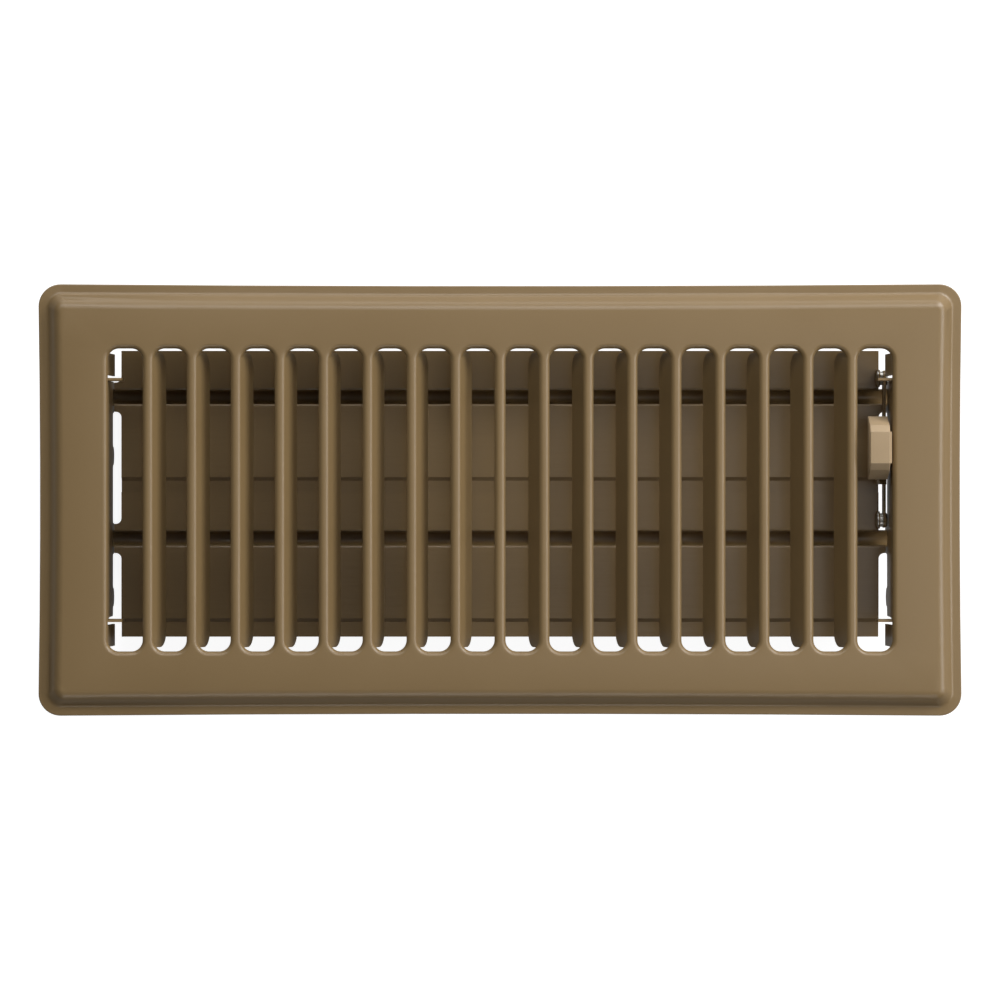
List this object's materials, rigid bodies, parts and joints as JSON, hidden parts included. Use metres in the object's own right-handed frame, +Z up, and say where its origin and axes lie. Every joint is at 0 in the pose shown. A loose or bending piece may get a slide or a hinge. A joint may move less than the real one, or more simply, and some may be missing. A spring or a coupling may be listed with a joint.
{
  "type": "floor register",
  "caption": "Pressed steel floor register with a slotted, louvred face and a two-blade damper worked by a sliding lever knob.",
  "frame": {"origin": "middle of the duct opening at floor level, in the plane of the underside of the lip", "axes": "+X along the length, +Y across it towards the upper blade, +Z up out of the floor"},
  "size_m": [0.2938, 0.1374, 0.0355],
  "materials": {
    "painted_face": "satin brown enamel",
    "painted_inner": "satin brown enamel",
    "painted_blade": "satin brown enamel, slightly rippled",
    "rivet_steel": "plain plated steel",
    "knob_plastic": "fine matte beige"
  },
  "bodies": {
    "root": {"faceplate": "painted_face", "end_plate_left": "painted_inner", "end_plate_right": "painted_inner"},
    "damper_lower": {"damper_lower": "painted_blade", "link_rivet_lower": "rivet_steel"},
    "damper_upper": {"damper_upper": "painted_blade", "link_rivet_upper": "rivet_steel"},
    "lever": {"link_bar": "painted_inner", "lever_knob": "knob_plastic"}
  },
  "joints": [
    {"name": "damper_lower_hinge", "type": "hinge", "parent": "root", "child": "damper_lower", "pos_m": [0, -0.01245, -0.023], "axis": [1, 0, 0], "range_deg": [0, 90]},
    {"name": "damper_upper_hinge", "type": "hinge", "parent": "root", "child": "damper_upper", "pos_m": [0, 0.0333, -0.023], "axis": [1, 0, 0], "range_deg": [0, 90]},
    {"name": "lever_pivot", "type": "hinge", "parent": "damper_lower", "child": "lever", "pos_m": [0.124, -0.00645, -0.017], "axis": [1, 0, 0], "range_deg": [-90, 0]}
  ],
  "couplings": [
    {"joint": "damper_upper_hinge", "follows": "damper_lower_hinge", "ratio": 1},
    {"joint": "lever_pivot", "follows": "damper_lower_hinge", "ratio": -1}
  ]
}
